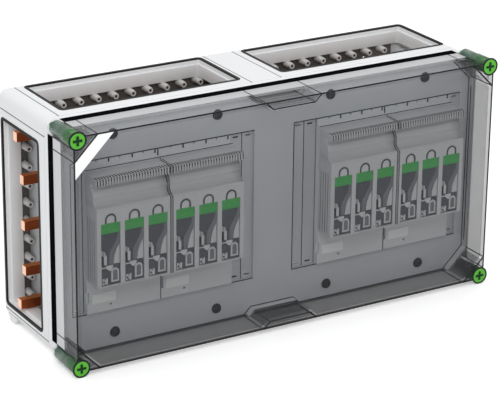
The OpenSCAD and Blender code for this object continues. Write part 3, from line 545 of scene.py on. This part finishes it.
def archPoints(x, half, foot, middle, steps):
    # straight sides from the foot, and a half circle above the middle
    turns = [math.pi * k / steps for k in range(steps + 1)]
    arc = [(x + half * math.cos(a), middle + half * math.sin(a)) for a in turns]
    return [(x - half, foot), (x + half, foot)] + arc


def screwCentre(sx, sz):
    return sx * (box["halfWidth"] - box["screwIn"]), sz * (box["halfHeight"] - box["screwIn"])


def poleCentres(cx):
    return [cx + p * unit["pole"] for p in (-1, 0, 1)]


# lid
def makeLidEdges():
    # light caught in the clear edges reads as fine dark lines
    spec = {"width": 0.0020, "low": 0.0024, "lowRise": 0.0011, "fine": 0.0015, "proud": 0.0004,
            "tube": 0.0155, "rearGap": 0.001, "notchLift": 0.0005}
    shape = newShape()
    hw, hh = box["halfWidth"], box["halfHeight"]
    front, rear = box["front"], box["tubeEnd"] - spec["rearGap"]

    def onFront(a, b, width):
        addBar(shape, (a[0], front, a[1]), (b[0], front, b[1]), width, spec["proud"], toFront)

    def alongWall(x, z, normal):
        addBar(shape, (x, front, z), (x, rear, z), spec["fine"], spec["proud"], normal)

    across, upright = hw - spec["tube"], hh - spec["tube"]
    onFront((-across, -hh + spec["lowRise"]), (across, -hh + spec["lowRise"]), spec["low"])
    onFront((-across, hh), (across, hh), spec["width"])
    for sx in (-1, 1):
        onFront((sx * hw, -upright), (sx * hw, upright), spec["width"])
    for sx, sz in corners:
        top, side = (sx * (hw - box["cut"]), sz * hh), (sx * hw, sz * (hh - box["cut"]))
        onFront(top, side, spec["width"])
        alongWall(*top, (0, 0, sz))
        alongWall(*side, (sx, 0, 0))
        alongWall(sx * across, sz * hh, (0, 0, sz))  # where a screw tube leaves the walls
        alongWall(sx * hw, sz * upright, (sx, 0, 0))
    half, deep = box["notchHalf"], box["notchDeep"]
    path = [(-half, hh), (-half + deep, hh - deep), (half - deep, hh - deep), (half, hh)]
    for sz in (-1, 1):  # middle notches
        for (x0, z0), (x1, z1) in zip(path, path[1:]):
            onFront((x0, sz * z0), (x1, sz * z1), spec["fine"])
        for sx in (-1, 1):
            alongWall(sx * half, sz * hh, (0, 0, sz))
            alongWall(sx * (half - deep), sz * (hh - deep + spec["notchLift"]), (0, 0, sz))
    meshPiece("lid_edge_lines", shape, "edgeDark", "lid_body")


def makeScrewRing(i, corner):
    # painted shade: a dark ring round a screw head, in the mouth of its tube
    spec = {"inner": 0.00965, "outer": 0.01180, "thick": 0.0008, "proud": 0.0001, "steps": 48}
    rear, front = box["front"] + spec["thick"], box["front"] - spec["proud"]
    profile = ((spec["inner"], rear), (spec["inner"], front), (spec["outer"], front), (spec["outer"], rear))
    cx, cz = screwCentre(*corner)
    points, faces = newShape()
    for k in range(spec["steps"]):
        a = 2 * math.pi * k / spec["steps"]
        points += [(cx + r * math.cos(a), y, cz + r * math.sin(a)) for r, y in profile]
    for k in range(spec["steps"]):
        j = (k + 1) % spec["steps"]
        for m in range(4):
            faces.append((4 * k + m, 4 * k + (m + 1) % 4, 4 * j + (m + 1) % 4, 4 * j + m))
    meshPiece(f"screw_ring_{i}", (points, faces), "edgeDark", "lid_body")


def makeScrewCross(i, corner):
    # painted shade of the cross slot of a screw head, as dark bars which turn with it
    spec = {"reach": 0.0060, "arm": 0.0032, "y": -0.2053, "lying": 0.0003, "standing": 0.00035}
    cx, cz = screwCentre(*corner)
    shape = newShape()
    left, right = (cx - spec["reach"], spec["y"], cz), (cx + spec["reach"], spec["y"], cz)
    foot, head = (cx, spec["y"], cz - spec["reach"]), (cx, spec["y"], cz + spec["reach"])
    addBar(shape, left, right, spec["arm"], spec["lying"], toFront)
    addBar(shape, foot, head, spec["arm"], spec["standing"], toFront)
    meshPiece(f"screw_cross_{i}", shape, "crossSlotShade", f"screw_{i}")


def makeGasketLip():
    # black lip of the lid gasket, seen all round where lid and base meet, widened with painted shade
    spec = {"from": -0.1485, "to": -0.1355, "thick": 0.0003, "corner": 0.0165}
    shape = newShape()
    hw, hh = box["halfWidth"] + spec["thick"] / 2, box["halfHeight"] + spec["thick"] / 2
    across, upright = hw - spec["corner"], hh - spec["corner"]
    middle, depth = (spec["from"] + spec["to"]) / 2, spec["to"] - spec["from"]
    for s in (-1, 1):
        addBar(shape, (-across, middle, s * hh), (across, middle, s * hh), depth, spec["thick"], (0, 0, s))
        addBar(shape, (s * hw, middle, -upright), (s * hw, middle, upright), depth, spec["thick"], (s, 0, 0))
    meshPiece("gasket_lip", shape, "gasketDark", "lid_body")


def makeWallShadeLines():
    # painted shade: a fine dark line down the inside of both side walls
    spec = {"wall": 0.0037, "y": -0.1645, "width": 0.0014, "thick": 0.0003, "end": 0.042}
    shape = newShape()
    reach = box["halfHeight"] - spec["end"]
    for s in (-1, 1):
        x = s * (box["halfWidth"] - spec["wall"])
        addBar(shape, (x, spec["y"], -reach), (x, spec["y"], reach), spec["width"], spec["thick"], (-s, 0, 0))
    meshPiece("wall_shade_lines", shape, "edgeDark", "lid_body")


def makeTubeShankImage(i, corner):
    # painted refraction: the green shank's image fills its clear tube when seen from the side
    spec = {"steps": 40, "profile": (
        (-0.2003, 0.0090), (-0.1995, 0.0100), (-0.1765, 0.0100), (-0.1755, 0.0092), (-0.1490, 0.0092))}
    n = spec["steps"]
    points, faces = newShape()
    for y, radius in spec["profile"]:
        points += [(x, y, z) for x, z in circlePoints(*screwCentre(*corner), radius, n)]
    for m in range(len(spec["profile"]) - 1):
        for k in range(n):
            j = (k + 1) % n
            faces.append((m * n + k, m * n + j, (m + 1) * n + j, (m + 1) * n + k))
    piece = meshPiece(f"tube_shank_image_{i}", (points, faces), "tubeGreen", "lid_body")
    for polygon in piece.data.polygons:
        polygon.use_smooth = True


# base and cover plate
def makeGrooveShade():
    # shade in the moulded grooves that part the flange frames from the shell
    spec = {"tops": (-0.280, -0.013, 0.030), "sides": (0.127, -0.140), "from": -0.1254, "to": -0.0005,
            "width": 0.0013, "thick": 0.0003, "sunk": 0.0004}
    shape = newShape()
    start, end, width, thick = (spec[k] for k in ("from", "to", "width", "thick"))
    for s in (-1, 1):
        x, z = s * (box["halfWidth"] - spec["sunk"]), s * (box["halfHeight"] - spec["sunk"])
        for along in spec["tops"]:
            addBar(shape, (along, start, z), (along, end, z), width, thick, (0, 0, s))
        for up in spec["sides"]:
            addBar(shape, (x, start, up), (x, end, up), width, thick, (s, 0, 0))
    meshPiece("groove_shade", shape, "grooveGrey", "base")


def makeBossBores():
    # painted shade: dark discs in the screw holes of the floor bosses, dark in their depth
    spec = {"radius": 0.0019, "sunk": 0.0006, "edge": 0.029, "end": 0.0428, "drop": 0.027, "pitch": 0.0244,
            "left": 11, "right": 8, "column": 9, "steps": 14}
    bx, bz = box["halfWidth"] - spec["edge"], box["halfHeight"] - spec["drop"]
    last = box["halfWidth"] - spec["end"]
    gap = 2 * bz / (spec["column"] + 1)
    places = []
    for sz in (-1, 1):
        places += [(-bx + k * spec["pitch"], sz * bz) for k in range(spec["left"])]
        places += [(last - k * spec["pitch"], sz * bz) for k in range(spec["right"])]
    for sx in (-1, 1):
        places += [(sx * bx, bz - k * gap) for k in range(1, spec["column"] + 1)]
    shape = newShape()
    for x, z in places:
        addFace(shape, circlePoints(x, z, spec["radius"], spec["steps"]), box["bossTip"] + spec["sunk"])
    meshPiece("boss_bores", shape, "shadowDark", "base")


def makeFieldLines():
    # fine shadow gap where the switches stand in the fields of the cover plate
    spec = {"width": 0.0011, "thick": 0.0003}
    shape = newShape()
    y = box["plate"] - spec["thick"] / 2
    for s in (-1, 1):
        inner, outer = s * fields["inner"], s * fields["outer"]
        gapless = inner if s < 0 else outer  # the right hand edge of each field has no gap
        ring = [(inner, fields["bottom"]), (outer, fields["bottom"]), (outer, fields["top"]),
                (inner, fields["top"])]
        for (x0, z0), (x1, z1) in zip(ring, ring[1:] + ring[:1]):
            if not x0 == x1 == gapless:
                addBar(shape, (x0, y, z0), (x1, y, z1), spec["width"], spec["thick"], toFront)
    meshPiece("field_lines", shape, "shadowDark", "base")


def makePlateLine():
    # dark joint of the cover plate with the lid wall; along the top the gasket hides it
    spec = {"width": 0.0010, "thick": 0.0004, "inset": 0.0036}
    d = spec["inset"]
    slant = d * (math.sqrt(2) - 1)
    w, h = box["halfWidth"] - d, box["halfHeight"] - d
    cutX, cutZ = box["halfWidth"] - box["cut"] - slant, box["halfHeight"] - box["cut"] - slant
    outer, inner = box["notchHalf"] + slant, box["notchHalf"] - box["notchDeep"] + slant
    low = h - box["notchDeep"]
    half = [(w, cutZ), (cutX, h), (outer, h), (inner, low)]
    upper = half + [(-x, z) for x, z in reversed(half)]
    path = upper + [(x, -z) for x, z in reversed(upper)]
    shape = newShape()
    y = box["plate"] - spec["thick"] / 2
    for (x0, z0), (x1, z1) in zip(path, path[1:] + path[:1]):
        if min(z0, z1) < low:
            addBar(shape, (x0, y, z0), (x1, y, z1), spec["width"], spec["thick"], toFront)
    meshPiece("plate_line", shape, "edgeDark", "base")


def makeStripDarks():
    # painted shade in the slots of the blanking strips, and the fine dark joints beside them
    spec = {"joints": (0.0453, 0.0633, 0.2667), "jointsRight": 2, "slotX": 0.0543,
            "slotsZ": (-0.0924, 0.0941), "slotWide": 0.0078, "slotHigh": 0.0028, "slotY": -0.1551,
            "jointY": -0.1560, "line": 0.0009, "gap": 0.001, "thick": 0.0003}
    shape = newShape()
    half, y = spec["slotWide"] / 2, spec["jointY"]
    foot, head = fields["bottom"] + spec["gap"], fields["top"] - spec["gap"]
    for s in (-1, 1):
        for z in spec["slotsZ"]:
            left = (s * spec["slotX"] - half, spec["slotY"], z)
            right = (s * spec["slotX"] + half, spec["slotY"], z)
            addBar(shape, left, right, spec["slotHigh"], spec["thick"], toFront)
        for x in spec["joints"] if s < 0 else spec["joints"][:spec["jointsRight"]]:
            addBar(shape, (s * x, y, foot), (s * x, y, head), spec["line"], spec["thick"], toFront)
    meshPiece("strip_darks", shape, "shadowDark", "base")


def makeUnitLines():
    # painted shade along the top edge of each front frame, in its clip notches, and in the slot and joint
    # between two units
    spec = {"line": 0.0009, "thick": 0.0003, "proud": 0.0002, "drop": 0.0013,
            "notches": (-0.016, 0.016, 0.047), "notchWide": 0.0018, "notchFrom": 0.0945,
            "notchTo": 0.0990, "slotWide": 0.0016, "slotFrom": 0.0860, "slotTo": 0.0990, "gap": 0.001}
    shape = newShape()
    half = unit["width"] / 2
    front, ledge = unit["body"] - spec["proud"], box["plate"] - spec["proud"]

    def upright(x, y, foot, head, width):
        addBar(shape, (x, y, foot), (x, y, head), width, spec["thick"], toFront)

    for cx in unit["centres"]:
        z = unit["bodyTop"] - spec["drop"]
        addBar(shape, (cx - half, front, z), (cx + half, front, z), spec["line"], spec["thick"], toFront)
        for x in spec["notches"]:
            upright(cx + x, ledge, spec["notchFrom"], spec["notchTo"], spec["notchWide"])
    for x in (-unit["between"], unit["between"]):
        upright(x, ledge, spec["slotFrom"], spec["slotTo"], spec["slotWide"])
        upright(x, front, unit["bodyFoot"] + spec["gap"], unit["bodyTop"] - spec["gap"], spec["line"])
    meshPiece("unit_lines", shape, "shadowDark", "base")


# covers of the disconnectors
def makeVentDarks(n, cx):
    # painted shade in each vent slot in the lip of a cover: dark above, lighter below, all dark near the ends
    spec = {"width": 0.00165, "sunk": 0.0009, "thick": 0.0003, "footGap": 0.0002, "topCut": 0.0014,
            "upper": 0.0048, "deepLeft": 4, "deepRight": 3, "topRise": 0.0001, "topFrom": 0.0012,
            "topTo": 0.0088}
    pitch = unit["width"] / unit["ribs"]
    y = unit["face"] + spec["sunk"]
    foot, head = unit["lip"] + spec["footGap"], unit["top"] - spec["topCut"]
    topZ = unit["top"] - spec["thick"] / 2 + spec["topRise"]
    topFrom, topTo = unit["face"] + spec["topFrom"], unit["face"] + spec["topTo"]
    darks, floors = newShape(), newShape()
    for k in range(unit["ribs"]):
        x = cx - unit["width"] / 2 + (k + 0.5) * pitch
        deep = k < spec["deepLeft"] or k >= unit["ribs"] - spec["deepRight"]
        darkFrom = foot if deep else unit["top"] - spec["upper"]
        addBar(darks, (x, y, darkFrom), (x, y, head), spec["width"], spec["thick"], toFront)
        addBar(darks, (x, topFrom, topZ), (x, topTo, topZ), spec["width"], spec["thick"], (0, 0, 1))
        if not deep:
            addBar(floors, (x, y, foot), (x, y, darkFrom), spec["width"], spec["thick"], toFront)
    meshPiece(f"vent_darks_{n}", darks, "shadowDark", f"cover_{n}")
    meshPiece(f"vent_floors_{n}", floors, "ventGrey", f"cover_{n}")


def makeGrooveDarks(n, cx):
    # painted shade in the side grooves of a cover
    spec = {"width": 0.0015, "first": 0.0078, "pitch": 0.0055, "count": 4, "sunk": 0.0006, "foot": -0.0458,
            "head": 0.0338, "thick": 0.0003}
    shape = newShape()
    for s in (-1, 1):
        x = cx + s * (unit["width"] / 2 - spec["sunk"])
        for k in range(spec["count"]):
            y = unit["face"] + spec["first"] + k * spec["pitch"]
            foot, head = (x, y, spec["foot"]), (x, y, spec["head"])
            addBar(shape, foot, head, spec["width"], spec["thick"], (s, 0, 0))
    meshPiece(f"groove_darks_{n}", shape, "shadowDark", f"cover_{n}")


def makeClipHollows(n, cx):
    # painted shade: a grey sheet in the hollow inside the arch of each clip
    spec = {"x": 0.006, "half": 0.0030, "foot": -0.0440, "middle": -0.0335, "sunk": 0.0013, "steps": 10}
    shape = newShape()
    for px in poleCentres(cx):
        outline = archPoints(px + spec["x"], spec["half"], spec["foot"], spec["middle"], spec["steps"])
        addFace(shape, outline, unit["face"] + spec["sunk"])
    meshPiece(f"clip_hollows_{n}", shape, "clipHollowShade", f"cover_{n}")


def makeWindowPieces(n, cx):
    # small pieces that show in each window, in metres from the middle of its pole: light mouldings, patches
    # of painted light and marks of painted shade
    back = 0.0039
    kinds = {
        "lights": {"look": "insertGrey", "slot": "switch_grey", "sunk": 0.0012, "outlines": (
            ((-.006, -.0242), (.003, -.0242), (.003, -.027), (.0005, -.031), (-.0015, -.0313),
             (-.006, -.0274)),
            ((-.0128, -.0269), (-.005, -.0269), (-.005, -.0257), (-.0128, -.0257)),
            ((-.0087, -.0223), (-.0075, -.0223), (-.0075, -.006), (-.0087, -.005)))},
        # a lighter copy of the shield grey: painted light
        "litPatches": {"look": "shieldLight", "slot": "shield_dark", "sunk": 0.0016, "outlines": (
            ((-.0014, -.023), (.0034, -.023), (.0034, -.0124), (.009, -.0024), (.0129, .0036), (.0129, .0168),
             (.0098, .0168), (.0088, .0085), (.004, .001), (-.0014, -.008)),)},
        # dark marks: painted shade
        "shadeMarks": {"look": "shadowDark", "slot": "shield_dark", "sunk": 0.0012, "outlines": (
            ((-.0126, -.0225), (-.0096, -.0225), (-.0096, -.012), (-.0126, -.0115)),
            ((-.0102, -.0458), (-.0082, -.0458), (-.0082, -.0436), (-.0102, -.0436)))},
    }
    for name, kind in kinds.items():
        shape = newShape()
        for px in poleCentres(cx):
            for outline in kind["outlines"]:
                moved = [(px + x, z) for x, z in outline]
                addPrism(shape, moved, unit["face"] + kind["sunk"], unit["face"] + back)
        meshPiece(f"window_{name}_{n}", shape, kind["look"], f"cover_{n}")


def makeRingFloors(n, cx):
    # light field that shows through the ring of each fuse tag
    spec = {"half": 0.0056, "foot": 0.0308, "middle": 0.0352, "sunk": 0.0005, "back": 0.0039, "steps": 16}
    shape = newShape()
    for px in poleCentres(cx):
        outline = archPoints(px, spec["half"], spec["foot"], spec["middle"], spec["steps"])
        addPrism(shape, outline, unit["face"] + spec["sunk"], unit["face"] + spec["back"])
    meshPiece(f"ring_floors_{n}", shape, "insertGrey", f"cover_{n}")


def gripSection():
    # section of the hollow grip, as depth behind the face and height
    spec = {"foot": 0.048, "high": 0.070, "rise": 0.5, "cutY": 0.001, "cutZ": 0.0585, "cutR": 0.008,
            "step": 0.002}
    section = []
    for k in range(round((spec["high"] - spec["foot"]) / spec["step"]) + 1):
        z = spec["foot"] + k * spec["step"]
        across = spec["cutR"] ** 2 - (z - spec["cutZ"]) ** 2
        hollow = spec["cutY"] + math.sqrt(across) if across > 0 else 0
        section.append((max((z - spec["foot"]) * spec["rise"], hollow), z))
    return section


def makeCoverSeam(n, cx):
    # the two covers of a pair meet in a dark double seam that follows their section
    spec = {"in": 0.0011, "width": 0.0011, "thick": 0.0003, "foot": -0.0505, "deep": 0.015, "deepZ": 0.074,
            "topFrom": 0.001, "topBack": 0.027}
    face = [(0, spec["foot"])] + gripSection() + [(spec["deep"], spec["deepZ"]), (spec["deep"], unit["lip"])]
    lip = [(0, unit["lip"]), (0, unit["top"])]
    top = [(spec["topFrom"], unit["top"]), (spec["topBack"], unit["top"])]
    side = 1 if n % 2 else -1
    x = cx + side * (unit["width"] / 2 - spec["in"])
    shape = newShape()
    for path in (face, lip, top):
        for (y0, z0), (y1, z1) in zip(path, path[1:]):
            start, end = (x, unit["face"] + y0, z0), (x, unit["face"] + y1, z1)
            addBar(shape, start, end, spec["width"], spec["thick"], (0, z0 - z1, y1 - y0))
    meshPiece(f"cover_seam_{n}", shape, "shadowDark", f"cover_{n}")


# what each round adds to all four covers
coverTrim = ((makeVentDarks,), (makeGrooveDarks, makeClipHollows), (makeWindowPieces, makeRingFloors),
             (makeCoverSeam,))
makeLidEdges()
for i, corner in enumerate(corners, 1):
    makeScrewRing(i, corner)
    makeScrewCross(i, corner)
makeGasketLip()
makeWallShadeLines()
makeGrooveShade()
for i, corner in enumerate(corners, 1):
    makeTubeShankImage(i, corner)
print("lid and outside of the base dressed")
makeBossBores()
makeFieldLines()
makePlateLine()
makeStripDarks()
makeUnitLines()
print("bosses and cover plate dressed")
for trim in coverTrim:
    for n, cx in enumerate(unit["centres"], 1):
        for dress in trim:
            dress(n, cx)
print("covers dressed")


# floor, light and camera
def seenDirectly(tree):
    # 1 for rays from the camera, and for those that gloss or clear plastic pass on
    path = tree.nodes.new("ShaderNodeLightPath")
    passed = addMath(tree, "MAXIMUM", path.outputs["Is Glossy Ray"], path.outputs["Is Transmission Ray"])
    return addMath(tree, "MAXIMUM", path.outputs["Is Camera Ray"], passed)


def makeFloor():
    spec = {"height": -0.1568, "reach": 6, "colour": (0.90, 0.90, 0.90), "grainColour": (0.84, 0.84, 0.84),
            "grainScale": 30.0, "grainDetail": 3.0, "grain": 0.04, "rough": 0.7, "lift": 0.35}
    mesh = bpy.data.meshes.new("studio_floor")
    r, z = spec["reach"], spec["height"]
    mesh.from_pydata([(-r, -r, z), (r, -r, z), (r, r, z), (-r, r, z)], [], [(0, 1, 2, 3)])
    obj = bpy.data.objects.new("studio_floor", mesh)
    bpy.context.scene.collection.objects.link(obj)
    mat, tree, shader = newMaterial("floorPale")
    grain = addMath(tree, "MULTIPLY", addNoise(tree, spec["grainScale"], spec["grainDetail"]), spec["grain"])
    colour = addMix(tree, grain, rgba(spec["colour"]), rgba(spec["grainColour"]))
    tree.links.new(colour, shader.inputs["Base Color"])
    shader.inputs["Roughness"].default_value = spec["rough"]
    shader.inputs["Emission Color"].default_value = (1, 1, 1, 1)
    lift = addMath(tree, "MULTIPLY", seenDirectly(tree), spec["lift"])
    tree.links.new(lift, shader.inputs["Emission Strength"])
    mesh.materials.append(mat)


lamps = {
    "keyLamp": {"place": (-1.6, -2.2, 2.4), "aim": (0, -0.1, 0), "size": (1.8, 1.8), "power": 42},
    "fillLamp": {"place": (2.4, -1.6, 1.0), "aim": (0, -0.1, 0), "size": (2.0, 2.0), "power": 14},
    "topLamp": {"place": (0, 0.6, 2.6), "aim": (0, 0, 0), "size": (2.0, 1.4), "power": 16},
}


def makeLamp(name):
    spec = lamps[name]
    lamp = bpy.data.lights.new(name, "AREA")
    lamp.shape = "RECTANGLE"
    lamp.size, lamp.size_y = spec["size"]
    lamp.energy = spec["power"]
    obj = bpy.data.objects.new(name, lamp)
    bpy.context.scene.collection.objects.link(obj)
    obj.location = spec["place"]
    ray = Vector(spec["aim"]) - Vector(spec["place"])
    obj.rotation_euler = ray.to_track_quat("-Z", "Y").to_euler()


def makeWorld():
    # white where it is seen, softer where it lights the object
    spec = {"light": 0.60, "seen": 0.40}
    world = bpy.data.worlds.new("studioWorld")
    bpy.context.scene.world = world
    world.use_nodes = True
    tree = world.node_tree
    tree.nodes.clear()
    out = tree.nodes.new("ShaderNodeOutputWorld")
    shader = tree.nodes.new("ShaderNodeBackground")
    extra = addMath(tree, "MULTIPLY", seenDirectly(tree), spec["seen"])
    shader.inputs["Color"].default_value = (1, 1, 1, 1)
    tree.links.new(addMath(tree, "ADD", extra, spec["light"]), shader.inputs["Strength"])
    tree.links.new(shader.outputs[0], out.inputs[0])


def makeCamera():
    # fitted to the photograph: angles in degrees, focal length in pixels of a frame 500 wide
    spec = {"azimuth": -30.987, "elevation": 21.050, "roll": 0.661, "focal": 2252.87, "frameWide": 500,
            "sensor": 36, "distance": 2.8792, "right": -0.00171, "up": -0.01820, "target": (0, -0.105, 0),
            "reach": 20}
    a, e, t = (math.radians(spec[k]) for k in ("azimuth", "elevation", "roll"))
    view = Vector((-math.sin(a) * math.cos(e), math.cos(a) * math.cos(e), -math.sin(e)))
    right = view.cross(Vector((0, 0, 1))).normalized()
    up = right.cross(view)
    right, up = right * math.cos(t) + up * math.sin(t), up * math.cos(t) - right * math.sin(t)
    cam = bpy.data.cameras.new("photoCamera")
    cam.sensor_width = spec["sensor"]
    cam.lens = spec["focal"] * spec["sensor"] / spec["frameWide"]
    cam.clip_end = spec["reach"]
    obj = bpy.data.objects.new("photoCamera", cam)
    bpy.context.scene.collection.objects.link(obj)
    place = Vector(spec["target"]) + right * spec["right"] + up * spec["up"] - view * spec["distance"]
    obj.matrix_world = Matrix(((right.x, up.x, -view.x, place.x), (right.y, up.y, -view.y, place.y),
                               (right.z, up.z, -view.z, place.z), (0, 0, 0, 1)))
    bpy.context.scene.camera = obj


makeFloor()
for name in lamps:
    makeLamp(name)
makeWorld()
makeCamera()
bpy.context.scene.view_settings.view_transform = "Standard"
print("stage ready")
